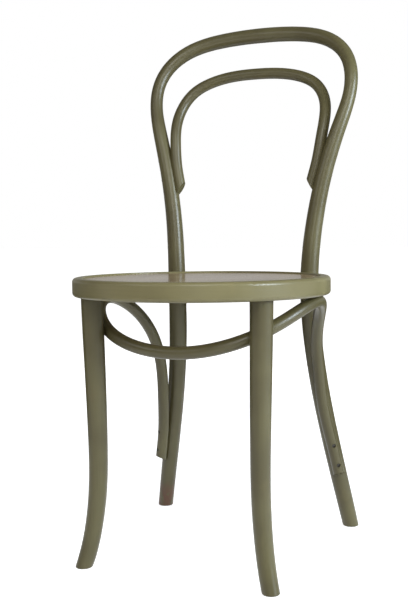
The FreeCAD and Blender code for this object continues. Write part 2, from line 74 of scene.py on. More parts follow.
# Where the grain turns: from and to how far below a piece's top, and behind the brace's front
HOOP_TURN = (0.075, 0.030)
ARCH_TURN = (0.060, 0.025)
BRACE_TURN = (0.075, 0.035)
BRACE_FRONT_TURN = (0.045, 0.075)

# Noise: scale, detail and roughness. Where the place is stretched first, the scale is 1.
GRAIN = (1.0, 3.0, 0.6)
PAINT_DRIFT = (9.0, 2.0, 0.5)
PAINT_PATCHES = (26.0, 3.0, 0.6)
PAINT_NIBS = (900.0, 2.0, 0.5)
VENEER_GRAIN = (1.0, 4.0, 0.6)
VENEER_WAVES = (1.0, 2.0, 0.5)
VENEER_PATCHES = (14.0, 3.0, 0.55)
VENEER_NIBS = (800.0, 2.0, 0.5)
STEEL_BLOTCHES = (420.0, 4.0, 0.6)
STEEL_RUBS = (900.0, 3.0, 0.6)
FLOOR_MOTTLE = (0.8, 2.0, 0.5)

# How the place is stretched before its noise, and moved to keep two patterns of a finish apart
VENEER_GRAIN_STRETCH = (380.0, 9.0, 380.0)
VENEER_WAVE_STRETCH = (26.0, 5.0, 26.0)
KNOCK_STRETCH = (110.0, 110.0, 45.0)
PATCH_SHIFT = (3.1, 1.7, 0.4)
RUB_SHIFT = (0.7, 2.2, 1.3)

# Ramps: the noise values between which a colour comes in, then its least and its largest share
PAINT_COLOUR_RAMP = (0.38, 0.66)
PAINT_STREAK_RAMP = (0.48, 0.70, 0.0, 0.34)
PAINT_WARM_RAMP = (0.56, 0.78, 0.0, 0.32)
VENEER_COLOUR_RAMP = (0.35, 0.68)
VENEER_GRAIN_RAMP = (0.52, 0.75, 0.0, 0.35)
VENEER_PATCH_RAMP = (0.50, 0.80, 0.0, 0.25)
STEEL_RUB_RAMP = (0.60, 0.78, 0.0, 0.7)
FLOOR_RAMP = (0.3, 0.7)

# Gloss: what comes off a finish's roughness, what its patterns add, and how far it mirrors
PAINT_SMOOTHER = 0.05
PAINT_PATCH_ROUGHNESS = 0.07
PAINT_STREAK_ROUGHNESS = 0.06
PAINT_SPECULAR = 0.43
VENEER_PATCH_ROUGHNESS = 0.06
VENEER_RUB_SMOOTHER = 0.03
VENEER_SPECULAR = 0.40
STEEL_SMOOTHER = 0.1
STEEL_BLOTCH_ROUGHNESS = 0.25
STEEL_METALLIC = 0.9
FLOOR_ROUGHNESS = 0.9
FLOOR_SPECULAR = 0.1

# Relief: the share of it that is nibs and not grain, and its height where no setting gives it
PAINT_NIB_SHARE = 0.08
VENEER_NIB_SHARE = 0.3
VENEER_RELIEF = 0.00008
STEEL_RELIEF = 0.00006

# The part of the panel that sitters rub smooth: fully so within the first radius
RUBBED_RADII = (0.05, 0.17)

# The back left foot is knocked bare up to KNOCK_TOP, most of all in the lowest KNOCK_LOW of that.
# The bare wood is ragged, and fades out towards the middle of the chair.
KNOCK_TOP = 0.065
KNOCK_LOW = 0.25
KNOCK_FADE = (-0.10, -0.05)
KNOCK_RAMP = (0.34, 0.58)
KNOCK_STRENGTH = 0.92

# Screw profiles: a share against the place along the surface, from the head's face to its neck and
# from the neck to the tip
HEAD_WIDTHS = (
    (0.0, 0.0), (0.15, 0.38), (0.30, 0.72), (0.42, 0.93), (0.50, 1.0), (0.90, 0.56), (1.0, 0.0))
HEAD_DEPTHS = (
    (0.0, 0.0), (0.15, 0.03), (0.30, 0.09), (0.42, 0.15), (0.50, 0.21), (0.90, 1.0), (1.0, 1.0))
SHANK_WIDTHS = ((0.0, 0.0), (0.015, 1.0), (0.80, 1.0), (1.0, 0.0))
SHANK_DEPTHS = ((0.0, 0.0), (0.015, 0.0), (1.0, 1.0))
THREADED = ((0.0, 0.0), (0.22, 0.0), (0.28, 1.0), (1.0, 1.0))
THREAD_DEPTH = 0.5
# Steps round the screw, and rings from one end of the surface to the other
HEAD_GRID = (40, 21)
SHANK_GRID = (16, 78)
# The length of the slot's cutter against the head's radius
SLOT_REACH = 2.4
# The boolean loses faces as small as a screw's, so the slot is cut this many times larger
CUT_SCALE = 1000.0
# Corners nearer than this are one corner, in a CAD mesh and in a turned shape
CAD_GAP = 1e-6
SEAM_GAP = 0.000004
# The part of a CAD screw, from its tip, that holds no corner of its head
SHANK_SHARE = 0.8
# Edges that turn by more degrees than this stay sharp
SHARP_ANGLE = 38

# The camera stands in front and to the right, measured from the seat's centre on the floor
CAMERA_PLACE = (0.5926, -1.3888, 0.5224)
CAMERA_FORWARD = (-0.3891, 0.9181, -0.0757)
CAMERA_RIGHT = (0.9210, 0.3895, -0.0105)
CAMERA_LENS = 55.6
CAMERA_SENSOR = 36.0
CAMERA_REACH = 200.0

# Lamps: azimuth, elevation and distance, then width and height. Azimuth 0 is in front, 90 on the
# right. Each takes its power from the setting of its name. The strip light faces the posts.
STRIP_STAND = (86, 19, 3.2)
STRIP_SIZE = (0.95, 1.15)
STRIP_COLOUR = (0.76, 0.88, 1.0)
POSTS_DEPTH = 0.10
POSTS_SHARE = 0.7
LAMPS = (
    ("window_light", (84, 19, 2.8), (1.7, 1.5)),
    ("front_light", (24, 37, 2.9), (1.6, 1.3)),
    ("camera_light", (20, 14, 2.8), (0.18, 1.2)),
    ("left_light", (-35, 31, 2.8), (1.5, 1.0)),
    ("back_light", (205, 30, 2.8), (2.0, 1.4)),
)

# Grey screens, by azimuths and distance: far ones outside the lamps in front and on the right, near
# ones on the left and behind
FAR_SCREEN = (tuple(range(-60, 121, 15)), 4.5)
NEAR_SCREEN = (tuple(range(120, 301, 15)), 0.95)
SCREEN_HEIGHT = 3.6
# The screens are palest at the seat's height, so that the panel shows them
SCREEN_RISE = (0.38, 0.46)
SCREEN_FALL = (0.62, 0.80)

# White that the camera sees on the floor on top of its own light: under the chair, and far from it
FLOOR_LIFT = 0.78
FAR_FLOOR_LIFT = 1.0
FLOOR_LIFT_RADII = (0.9, 2.8)
FLOOR_GREYS = ((0.64, 0.64, 0.64, 1.0), (0.68, 0.68, 0.68, 1.0))

WHITE = (1.0, 1.0, 1.0, 1.0)
BLACK = (0.0, 0.0, 0.0, 1.0)


class ChairPaintSettings(bpy.types.PropertyGroup):
    """Satin paint on the bent rods, the front legs and the plugs."""

    colour: FloatVectorProperty(
        name="Paint", description="Main colour of the paint", subtype="COLOR",
        default=(0.119, 0.104, 0.044), min=0.0, max=1.0)
    shade: FloatVectorProperty(
        name="Shade", description="Colour of the darker drifts and streaks in the paint",
        subtype="COLOR", default=(0.089, 0.075, 0.031), min=0.0, max=1.0)
    warm: FloatVectorProperty(
        name="Warm", description="Colour where wear lets the wood warm the paint",
        subtype="COLOR", default=(0.135, 0.108, 0.045), min=0.0, max=1.0)
    bare: FloatVectorProperty(
        name="Bare wood", description="Colour of the wood where a foot is knocked bare",
        subtype="COLOR", default=(0.115, 0.050, 0.026), min=0.0, max=1.0)
    gloss: FloatProperty(
        name="Roughness", description="Roughness of the paint's surface", subtype="FACTOR",
        default=0.34, min=0.0, max=1.0)
    streak_width: FloatProperty(
        name="Streak width", description="Width of one grain streak under the paint",
        unit="LENGTH", default=0.0030, min=0.0002, max=0.02)
    streak_length: FloatProperty(
        name="Streak length", description="Length of one grain streak under the paint",
        unit="LENGTH", default=0.120, min=0.005, max=0.5)
    relief: FloatProperty(
        name="Relief", description="Height of the grain that shows through the paint",
        unit="LENGTH", default=0.000022, min=0.0, max=0.002)


class ChairRingLitPaintSettings(bpy.types.PropertyGroup):
    """Satin paint on the seat ring, whose streaks follow the bend. Its colours are the rods' paint
    made paler: painted light for the stronger light that falls on the ring.
    """

    # These colours are the rods' paint made paler, as painted light for the light the ring catches
    colour: FloatVectorProperty(
        name="Paint", description="Main colour of the ring's paint", subtype="COLOR",
        default=(0.202, 0.176, 0.080), min=0.0, max=1.0)
    shade: FloatVectorProperty(
        name="Shade", description="Colour of the darker drifts and streaks in the ring's paint",
        subtype="COLOR", default=(0.168, 0.145, 0.065), min=0.0, max=1.0)
    warm: FloatVectorProperty(
        name="Warm", description="Colour where wear lets the wood warm the ring's paint",
        subtype="COLOR", default=(0.226, 0.188, 0.080), min=0.0, max=1.0)
    gloss: FloatProperty(
        name="Roughness", description="Roughness of the ring's surface", subtype="FACTOR",
        default=0.33, min=0.0, max=1.0)
    relief: FloatProperty(
        name="Relief", description="Height of the grain that shows through the ring's paint",
        unit="LENGTH", default=0.00003, min=0.0, max=0.002)


class ChairPanelSettings(bpy.types.PropertyGroup):
    """Warm, glossier paint on the let-in seat panel."""

    colour: FloatVectorProperty(
        name="Paint", description="Main colour of the panel", subtype="COLOR",
        default=(0.345, 0.258, 0.150), min=0.0, max=1.0)
    shade: FloatVectorProperty(
        name="Shade", description="Colour of the panel's darker grain", subtype="COLOR",
        default=(0.275, 0.200, 0.115), min=0.0, max=1.0)
    gloss: FloatProperty(
        name="Roughness", description="Roughness of the panel's surface", subtype="FACTOR",
        default=0.15, min=0.0, max=1.0)


class ChairHardwareSettings(bpy.types.PropertyGroup):
    """Darkened steel of the bolts, washers, nuts and screws."""

    colour: FloatVectorProperty(
        name="Steel", description="Colour of the darkened steel", subtype="COLOR",
        default=(0.070, 0.064, 0.055), min=0.0, max=1.0)
    worn: FloatVectorProperty(
        name="Worn steel", description="Colour where a driver has rubbed the steel bright",
        subtype="COLOR", default=(0.300, 0.285, 0.260), min=0.0, max=1.0)
    gloss: FloatProperty(
        name="Roughness", description="Roughness of the steel", subtype="FACTOR",
        default=0.42, min=0.0, max=1.0)


class ChairScrewSettings(bpy.types.PropertyGroup):
    """Sizes of the slotted wood screws."""

    head_radius: FloatProperty(
        name="Head radius", description="Radius of a screw's head", unit="LENGTH",
        default=0.0036, min=0.001, max=0.02)
    head_height: FloatProperty(
        name="Head height", description="Height of the head's cone", unit="LENGTH",
        default=0.0026, min=0.0005, max=0.02)
    dome: FloatProperty(
        name="Dome", description="How far the head's face rises in its middle", unit="LENGTH",
        default=0.0006, min=0.0, max=0.005)
    shank_radius: FloatProperty(
        name="Shank radius", description="Radius over the thread", unit="LENGTH",
        default=0.0020, min=0.0005, max=0.01)
    slot_width: FloatProperty(
        name="Slot width", description="Width of the driver's slot", unit="LENGTH",
        default=0.0009, min=0.0002, max=0.005)
    slot_depth: FloatProperty(
        name="Slot depth", description="Depth of the driver's slot below the rim", unit="LENGTH",
        default=0.0011, min=0.0002, max=0.005)
    thread_turns: IntProperty(
        name="Thread turns", description="Turns of thread along a shank",
        default=11, min=1, max=60)
    seed: IntProperty(
        name="Seed", description="Seed of the angles at which the slots stopped",
        default=7, min=0, max=10000)


class ChairStageSettings(bpy.types.PropertyGroup):
    """Floor, lamps, screens and room."""

    floor_size: FloatProperty(
        name="Floor", description="Width of the floor", unit="LENGTH",
        default=60.0, min=4.0, max=200.0)
    strip_light: FloatProperty(
        name="Strip light", description="Power of the cool light on the right, in watts",
        default=108.0, min=0.0, max=2000.0)
    window_light: FloatProperty(
        name="Window light", description="Power of the wide light on the right, in watts",
        default=12.0, min=0.0, max=2000.0)
    front_light: FloatProperty(
        name="Front light", description="Power of the wide light in front, in watts",
        default=31.0, min=0.0, max=2000.0)
    camera_light: FloatProperty(
        name="Camera light", description="Power of the tall narrow light by the camera, in watts",
        default=6.0, min=0.0, max=2000.0)
    left_light: FloatProperty(
        name="Left light", description="Power of the weak light in front on the left, in watts",
        default=12.0, min=0.0, max=2000.0)
    back_light: FloatProperty(
        name="Back light", description="Power of the even light behind the chair, in watts",
        default=26.0, min=0.0, max=2000.0)
    screen_grey: FloatProperty(
        name="Screens", description="Grey of the screens that keep the white room out of the paint",
        default=0.16, min=0.0, max=1.0)
    screen_low: FloatProperty(
        name="Low screens", description="Grey of the screens near the floor",
        default=0.04, min=0.0, max=1.0)
    screen_pale: FloatProperty(
        name="Pale screens", description="Grey of the screens at the seat's height",
        default=0.45, min=0.0, max=1.0)
    sky: FloatProperty(
        name="Room", description="Strength of the even light of the room",
        default=0.145, min=0.0, max=4.0)


# Node helpers


class NodeSheet:
    """A node tree with short calls for what the finishes and the screws share."""

    def __init__(self, tree):
        self.tree = tree

    def link(self, source, target):
        self.tree.links.new(source, target)

    def feed(self, socket, value):
        """Sets an input to a number, a colour or another node's output."""
        if isinstance(value, bpy.types.NodeSocket):
            self.link(value, socket)
        else:
            socket.default_value = value

    def node(self, kind, settings=(), **inputs):
        """Adds a node, sets its properties, and feeds its inputs by name."""
        node = self.tree.nodes.new(kind)
        for name, value in settings:
            setattr(node, name, value)
        for name, value in inputs.items():
            self.feed(node.inputs[name.replace("_", " ")], value)
        return node

    def made(self, kind, settings=(), **inputs):
        """Adds a node in the same way, for its first output."""
        return self.node(kind, settings, **inputs).outputs[0]

    def maths(self, kind, *values):
        node = self.node("ShaderNodeMath", (("operation", kind),))
        for socket, value in zip(node.inputs, values):
            self.feed(socket, value)
        return node.outputs[0]

    def add(self, first, second):
        return self.maths("ADD", first, second)

    def times(self, first, second):
        return self.maths("MULTIPLY", first, second)

    def join(self, x, y, z):
        return self.made("ShaderNodeCombineXYZ", X=x, Y=y, Z=z)

    def split(self, vector):
        return self.node("ShaderNodeSeparateXYZ", Vector=vector).outputs


class Finish(NodeSheet):
    """A material with one surface shader."""

    def __init__(self, name):
        self.material = bpy.data.materials.new(name)
        self.material.use_nodes = True
        super().__init__(self.material.node_tree)
        self.tree.nodes.clear()
        output = self.tree.nodes.new("ShaderNodeOutputMaterial")
        self.surface = self.tree.nodes.new("ShaderNodeBsdfPrincipled")
        self.link(self.surface.outputs["BSDF"], output.inputs["Surface"])
        self.place = self.tree.nodes.new("ShaderNodeTexCoord").outputs["Object"]

    def give(self, **inputs):
        """Sets or feeds the shader's inputs by name."""
        for name, value in inputs.items():
            self.feed(self.surface.inputs[name.replace("_", " ")], value)

    def stretched(self, scale=(1.0, 1.0, 1.0), shift=(0.0, 0.0, 0.0)):
        """The place, stretched and moved."""
        return self.made("ShaderNodeMapping", Vector=self.place, Scale=scale, Location=shift)

    def noise(self, vector, scale, detail, rough):
        return self.node(
            "ShaderNodeTexNoise", Vector=vector, Scale=scale, Detail=detail,
            Roughness=rough).outputs["Fac"]

    def ramp(self, value, low, high, low_result=0.0, high_result=1.0):
        """A smooth rise or fall between two values."""
        return self.made(
            "ShaderNodeMapRange", (("interpolation_type", "SMOOTHSTEP"),), Value=value,
            From_Min=low, From_Max=high, To_Min=low_result, To_Max=high_result)

    def radius_from(self, centre):
        """The level distance from an upright line through a point."""
        across, depth, _ = self.split(self.place)
        across = self.maths("SUBTRACT", across, centre[0])
        depth = self.maths("SUBTRACT", depth, centre[1])
        square = self.add(self.times(across, across), self.times(depth, depth))
        return self.maths("POWER", square, 0.5)

    def blend(self, share, first, second):
        """Two colours mixed by a share of the second."""
        return self.node(
            "ShaderNodeMix", (("data_type", "RGBA"),), Factor=share, A=first,
            B=second).outputs["Result"]

    def cross_fade(self, share, first, second):
        """Two patterns mixed by a share of the second."""
        return self.add(
            self.times(first, self.maths("SUBTRACT", 1.0, share)), self.times(second, share))

    def bump(self, height, distance):
        self.give(Normal=self.made("ShaderNodeBump", Distance=distance, Height=height))


def opaque(colour):
    """A colour property as a colour with full alpha."""
    return (colour[0], colour[1], colour[2], 1.0)


# Paint on wood


def streaks_along(sheet, axis):
    """Grain streaks that run along one axis of the frame."""
    settings = bpy.context.scene.chair_paint
    scale = [1 / settings.streak_width] * 3
    scale[axis] = 1 / settings.streak_length
    return sheet.noise(sheet.stretched(scale), *GRAIN)


def ring_streaks(sheet):
    """Grain streaks that run round the seat's centre, as in a bent ring."""
    settings = bpy.context.scene.chair_paint
    across, depth, height = sheet.split(sheet.place)
    from_centre = sheet.maths("SUBTRACT", depth, SEAT_CENTRE.y)
    radius = sheet.radius_from((0.0, SEAT_CENTRE.y))
    cosine = sheet.maths("DIVIDE", across, radius)
    sine = sheet.maths("DIVIDE", from_centre, radius)
    reach = SEAT_RADIUS / settings.streak_length
    fine = 1 / settings.streak_width
    round_place = sheet.join(
        sheet.add(sheet.times(cosine, reach), sheet.times(radius, fine)),
        sheet.times(sine, reach),
        sheet.times(height, fine))
    return sheet.noise(round_place, *GRAIN)


def crowned_streaks(sheet, top, turn):
    """Upright streaks that turn level where a bent rod crosses its top."""
    upright = streaks_along(sheet, 2)
    level = streaks_along(sheet, 0)
    height = sheet.split(sheet.place)[2]
    return sheet.cross_fade(sheet.ramp(height, top - turn[0], top - turn[1]), upright, level)


def hoop_streaks(sheet):
    """Streaks up the posts and across the hoop's crown."""
    return crowned_streaks(sheet, CHAIR_HEIGHT, HOOP_TURN)


def arch_streaks(sheet):
    """Streaks up the arch's sides and across its crown."""
    return crowned_streaks(sheet, ARCH_HEIGHT, ARCH_TURN)


def brace_streaks(sheet):
    """Upright streaks low on the brace, along its sides, and across behind the front legs."""
    upright, forward, across = (streaks_along(sheet, axis) for axis in (2, 1, 0))
    _, depth, height = sheet.split(sheet.place)
    top, front = BRACE_HIGH.z, BRACE_LOW.y
    risen = sheet.ramp(height, top - BRACE_TURN[0], top - BRACE_TURN[1])
    behind = sheet.ramp(depth, front + BRACE_FRONT_TURN[0], front + BRACE_FRONT_TURN[1])
    return sheet.cross_fade(behind, across, sheet.cross_fade(risen, upright, forward))


def leg_streaks(sheet):
    """Upright streaks for the turned front legs."""
    return streaks_along(sheet, 2)


def bare_wood(sheet, paint, settings):
    """The reddish wood that shows low on the back left foot, where the paint is knocked off."""
    across, _, height = sheet.split(sheet.place)
    low = sheet.ramp(height, KNOCK_TOP * KNOCK_LOW, KNOCK_TOP, 1.0, 0.0)
    left = sheet.ramp(across, *KNOCK_FADE, 1.0, 0.0)
    ragged = sheet.ramp(sheet.noise(sheet.stretched(KNOCK_STRETCH), *GRAIN), *KNOCK_RAMP)
    share = sheet.times(sheet.times(low, left), ragged)
    return sheet.blend(sheet.times(share, KNOCK_STRENGTH), paint, opaque(settings.bare))


def painted_wood(name, settings, streaks_of, knocked=False):
    """Satin paint over wood: streaks of grain, slow drifts of colour, nibs and a soft coat."""
    sheet = Finish(name)
    streaks = streaks_of(sheet)
    drift = sheet.noise(sheet.place, *PAINT_DRIFT)
    patches = sheet.noise(sheet.stretched(shift=PATCH_SHIFT), *PAINT_PATCHES)
    nibs = sheet.noise(sheet.place, *PAINT_NIBS)

    shade = opaque(settings.shade)
    paint = sheet.blend(sheet.ramp(drift, *PAINT_COLOUR_RAMP), shade, opaque(settings.colour))
    paint = sheet.blend(sheet.ramp(streaks, *PAINT_STREAK_RAMP), paint, shade)
    paint = sheet.blend(sheet.ramp(patches, *PAINT_WARM_RAMP), paint, opaque(settings.warm))
    if knocked:
        paint = bare_wood(sheet, paint, settings)

    rough = sheet.add(
        settings.gloss - PAINT_SMOOTHER, sheet.times(patches, PAINT_PATCH_ROUGHNESS))
    rough = sheet.add(rough, sheet.times(streaks, PAINT_STREAK_ROUGHNESS))
    sheet.give(Base_Color=paint, Roughness=rough, Specular_IOR_Level=PAINT_SPECULAR)
    sheet.bump(sheet.cross_fade(PAINT_NIB_SHARE, streaks, nibs), settings.relief)
    return sheet.material


def panel_finish(name, settings):
    """The seat panel: warm paint over fine straight veneer grain, smoother where one sits."""
    sheet = Finish(name)
    grain = sheet.noise(sheet.stretched(VENEER_GRAIN_STRETCH), *VENEER_GRAIN)
    waves = sheet.noise(sheet.stretched(VENEER_WAVE_STRETCH), *VENEER_WAVES)
    patches = sheet.noise(sheet.place, *VENEER_PATCHES)
    nibs = sheet.noise(sheet.place, *VENEER_NIBS)
    rubbed = sheet.ramp(sheet.radius_from(SEAT_CENTRE), *RUBBED_RADII, 1.0, 0.0)

    colour, shade = opaque(settings.colour), opaque(settings.shade)
    paint = sheet.blend(sheet.ramp(waves, *VENEER_COLOUR_RAMP), shade, colour)
    paint = sheet.blend(sheet.ramp(grain, *VENEER_GRAIN_RAMP), paint, shade)
    paint = sheet.blend(sheet.ramp(patches, *VENEER_PATCH_RAMP), paint, colour)

    rough = sheet.add(settings.gloss, sheet.times(patches, VENEER_PATCH_ROUGHNESS))
    rough = sheet.maths("SUBTRACT", rough, sheet.times(rubbed, VENEER_RUB_SMOOTHER))
    sheet.give(Base_Color=paint, Roughness=rough, Specular_IOR_Level=VENEER_SPECULAR)
    sheet.bump(sheet.cross_fade(VENEER_NIB_SHARE, grain, nibs), VENEER_RELIEF)
    return sheet.material


def steel_finish(name, settings):
    """Darkened steel, blotched, with bright rubs."""
    sheet = Finish(name)
    blotches = sheet.noise(sheet.place, *STEEL_BLOTCHES)
    rubs = sheet.noise(sheet.stretched(shift=RUB_SHIFT), *STEEL_RUBS)
    colour = sheet.blend(
        sheet.ramp(rubs, *STEEL_RUB_RAMP), opaque(settings.colour), opaque(settings.worn))
    rough = sheet.add(
        settings.gloss - STEEL_SMOOTHER, sheet.times(blotches, STEEL_BLOTCH_ROUGHNESS))
    sheet.give(Base_Color=colour, Metallic=STEEL_METALLIC, Roughness=rough)
    sheet.bump(blotches, STEEL_RELIEF)
    return sheet.material


def paint_node(node, material):
    """Gives a CAD node its finish."""
    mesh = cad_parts[node].data
    mesh.materials.clear()
    mesh.materials.append(material)


class CHAIR_OT_paint_rods(bpy.types.Operator):
    """Paints the hoop, the arch and the brace, each with grain along its own run"""

    bl_idname = "chair.paint_rods"
    bl_label = "Paint Bent Rods"

    def execute(self, context):
        settings = context.scene.chair_paint
        paint_node("back_hoop", painted_wood("hoop_paint", settings, hoop_streaks, knocked=True))
        paint_node("inner_arch", painted_wood("arch_paint", settings, arch_streaks))
        paint_node("leg_brace", painted_wood("brace_paint", settings, brace_streaks))
        return {"FINISHED"}


class CHAIR_OT_paint_legs(bpy.types.Operator):
    """Paints the two front legs and the plugs in the posts"""

    bl_idname = "chair.paint_legs"
    bl_label = "Paint Front Legs"

    def execute(self, context):
        paint = painted_wood("leg_paint", context.scene.chair_paint, leg_streaks)
        for node in LEG_PAINT_NODES:
            paint_node(node, paint)
        return {"FINISHED"}


class CHAIR_OT_paint_ring(bpy.types.Operator):
    """Paints the seat ring, with grain that follows the bend, in the rods' paint made paler as
    painted light
    """

    bl_idname = "chair.paint_ring"
    bl_label = "Paint Seat Ring"

    def execute(self, context):
        # The ring's paler colours are painted light: the rods' paint lifted for the light that
        # falls on the ring
        paint_node("seat_ring", painted_wood("ring_paint", context.scene.chair_ring, ring_streaks))
        return {"FINISHED"}


class CHAIR_OT_paint_panel(bpy.types.Operator):
    """Paints the seat panel"""

    bl_idname = "chair.paint_panel"
    bl_label = "Paint Seat Panel"

    def execute(self, context):
        paint_node("seat_panel", panel_finish("panel_paint", context.scene.chair_panel))
        return {"FINISHED"}


class CHAIR_OT_finish_steel(bpy.types.Operator):
    """Darkens the bolts, washers and nuts"""

    bl_idname = "chair.finish_steel"
    bl_label = "Finish Steel"

    def execute(self, context):
        steel = steel_finish("dark_steel", context.scene.chair_hardware)
        for node in STEEL_NODES:
            paint_node(node, steel)
        return {"FINISHED"}


# Slotted screws


class ScrewSheet(NodeSheet):
    """A geometry node tree with calls for turned shapes."""

    def __init__(self, name, sizes):
        super().__init__(bpy.data.node_groups.new(name, "GeometryNodeTree"))
        self.tree.is_modifier = True
        sockets = self.tree.interface
        sockets.new_socket(name="Places", in_out="INPUT", socket_type="NodeSocketGeometry")
        for size, kind in sizes:
            sockets.new_socket(name=size, in_out="INPUT", socket_type="NodeSocket" + kind)
        sockets.new_socket(name="Shape", in_out="OUTPUT", socket_type="NodeSocketGeometry")
        self.given = self.tree.nodes.new("NodeGroupInput").outputs
        self.result = self.tree.nodes.new("NodeGroupOutput").inputs["Shape"]

    def attribute(self, name, kind):
        """A value that each place carries."""
        return self.node(
            "GeometryNodeInputNamedAttribute", (("data_type", kind),),
            Name=name).outputs["Attribute"]

    def profile(self, along, points):
        """A share that runs straight from point to point as the place goes from 0 to 1."""
        node = self.node("ShaderNodeFloatCurve", Value=along)
        curve = node.mapping.curves[0]
        while len(curve.points) < len(points):
            curve.points.new(0.5, 0.5)
        for point, (place, share) in zip(curve.points, sorted(points)):
            point.location = (place, share)
            point.handle_type = "VECTOR"
        node.mapping.update()
        return node.outputs["Value"]

    def turned(self, grid, radius_of, height_of):
        """A closed turned shape, from a grid rolled up round the upright axis."""
        steps, rings = grid
        flat = self.made(
            "GeometryNodeMeshGrid", Size_X=1.0, Size_Y=1.0, Vertices_X=steps + 1,
            Vertices_Y=rings)
        place = self.split(self.made("GeometryNodeInputPosition"))
        turn = self.times(place["X"], math.tau)
        along = self.add(place["Y"], 0.5)
        radius = radius_of(along, turn)
        rolled = self.join(
            self.times(radius, self.maths("COSINE", turn)),
            self.times(radius, self.maths("SINE", turn)),
            height_of(along))
        moved = self.made("GeometryNodeSetPosition", Geometry=flat, Position=rolled)
        return self.made("GeometryNodeMergeByDistance", Geometry=moved, Distance=SEAM_GAP)

    def sized(self, shape, share):
        """A shape made larger or smaller about the origin."""
        return self.made("GeometryNodeTransform", Geometry=shape, Scale=(share, share, share))


def screw_head(sheet):
    """A countersunk head with a low dome and a driver's slot."""
    given = sheet.given
    tall = sheet.add(given["Head height"], given["Dome"])

    def radius_of(along, turn):
        return sheet.times(sheet.profile(along, HEAD_WIDTHS), given["Head radius"])

    def height_of(along):
        depth = sheet.times(sheet.profile(along, HEAD_DEPTHS), tall)
        return sheet.maths("SUBTRACT", depth, given["Dome"])

    body = sheet.turned(HEAD_GRID, radius_of, height_of)
    deep = sheet.add(given["Slot depth"], given["Dome"])
    size = sheet.join(
        given["Slot width"], sheet.times(given["Head radius"], SLOT_REACH),
        sheet.times(deep, 2.0))
    cutter = sheet.made(
        "GeometryNodeTransform", Geometry=sheet.made("GeometryNodeMeshCube", Size=size),
        Translation=sheet.join(0.0, 0.0, sheet.times(given["Dome"], -1.0)))
    cut = sheet.node("GeometryNodeMeshBoolean", (("operation", "DIFFERENCE"),))
    sheet.link(sheet.sized(body, CUT_SCALE), cut.inputs["Mesh 1"])
    sheet.link(sheet.sized(cutter, CUT_SCALE), cut.inputs["Mesh 2"])
    return sheet.sized(cut.outputs["Mesh"], 1 / CUT_SCALE)


def screw_shank(sheet):
    """A threaded shank one metre long, which each place scales to its own length."""
    given = sheet.given

    def radius_of(along, turn):
        smooth = sheet.times(sheet.profile(along, SHANK_WIDTHS), given["Shank radius"])
        phase = sheet.add(
            sheet.maths("DIVIDE", turn, math.tau), sheet.times(along, given["Thread turns"]))
        ridge = sheet.maths("PINGPONG", phase, 0.5)
        groove = sheet.times(sheet.times(ridge, sheet.profile(along, THREADED)), THREAD_DEPTH)
        return sheet.times(smooth, sheet.maths("SUBTRACT", 1.0, groove))

    def height_of(along):
        return sheet.profile(along, SHANK_DEPTHS)

    return sheet.turned(SHANK_GRID, radius_of, height_of)


def screw_stance(sheet, way):
    """Each screw's turn: along its way, and then by chance round its own line."""
    aligned = sheet.made("FunctionNodeAlignRotationToVector", (("axis", "Z"),), Vector=way)
    chance = sheet.node(
        "FunctionNodeRandomValue", (("data_type", "FLOAT"),), Seed=sheet.given["Seed"])
    highest = [socket for socket in chance.inputs
               if socket.name == "Max" and socket.type == "VALUE"][0]
    sheet.feed(highest, math.pi)
    angle = [socket for socket in chance.outputs if socket.type == "VALUE"][0]
    spin = sheet.made("FunctionNodeAxisAngleToRotation", Axis=(0.0, 0.0, 1.0), Angle=angle)
    return sheet.made(
        "FunctionNodeRotateRotation", (("rotation_space", "LOCAL"),), Rotation=aligned,
        Rotate_By=spin)


def screw_tree():
    """Sets a slotted screw at each place, along its way, with its own length and slot angle."""
    sheet = ScrewSheet("slotted_screws", (
        ("Head radius", "Float"), ("Head height", "Float"), ("Dome", "Float"),
        ("Shank radius", "Float"), ("Slot width", "Float"), ("Slot depth", "Float"),
        ("Thread turns", "Int"), ("Seed", "Int"), ("Steel", "Material")))
    given = sheet.given
    way = sheet.attribute("way", "FLOAT_VECTOR")
    length = sheet.attribute("length", "FLOAT")
    stance = screw_stance(sheet, way)
    heads = sheet.made(
        "GeometryNodeInstanceOnPoints", Points=given["Places"], Instance=screw_head(sheet),
        Rotation=stance)
    lowered = sheet.made(
        "ShaderNodeVectorMath", (("operation", "SCALE"),), Vector=way,
        Scale=given["Head height"])
    necks = sheet.made("GeometryNodeSetPosition", Geometry=given["Places"], Offset=lowered)
    below = sheet.maths("SUBTRACT", length, given["Head height"])
    shanks = sheet.made(
        "GeometryNodeInstanceOnPoints", Points=necks, Instance=screw_shank(sheet),
        Rotation=stance, Scale=sheet.join(1.0, 1.0, below))
    both = sheet.node("GeometryNodeJoinGeometry")
    for part in (heads, shanks):
        sheet.link(part, both.inputs[0])
    real = sheet.made("GeometryNodeRealizeInstances", Geometry=both.outputs[0])
    steel = sheet.made("GeometryNodeSetMaterial", Geometry=real, Material=given["Steel"])
    sheet.link(steel, sheet.result)
    return sheet.tree


def loose_solids(node):
    """The corners of each separate solid in a CAD node."""
    whole = bmesh.new()
    whole.from_mesh(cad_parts[node].data)
    bmesh.ops.remove_doubles(whole, verts=whole.verts, dist=CAD_GAP)
    seen = set()
    solids = []
    for first in whole.verts:
        if first in seen:
            continue
        seen.add(first)
        waiting, corners = [first], []
        while waiting:
            corner = waiting.pop()
            corners.append(corner.co.copy())
            for edge in corner.link_edges:
                other = edge.other_vert(corner)
                if other not in seen:
                    seen.add(other)
                    waiting.append(other)
        solids.append(corners)
    whole.free()
    return solids


def screw_line(corners):
    """Where a screw's flat head face has its middle, the way its shank points, and its length."""
    middle = sum(corners, Vector()) / len(corners)
    tip = max(corners, key=lambda corner: (corner - middle).length)
    rough = (tip - middle).normalized()
    length = max((tip - corner).dot(rough) for corner in corners)
    # The shank's rings lie evenly round its line; the slotted head's corners don't
    shank = [corner for corner in corners
             if (tip - corner).dot(rough) < length * SHANK_SHARE and corner != tip]
    way = (tip - sum(shank, Vector()) / len(shank)).normalized()
    length = max((tip - corner).dot(way) for corner in corners)
    return tip - way * length, way, length


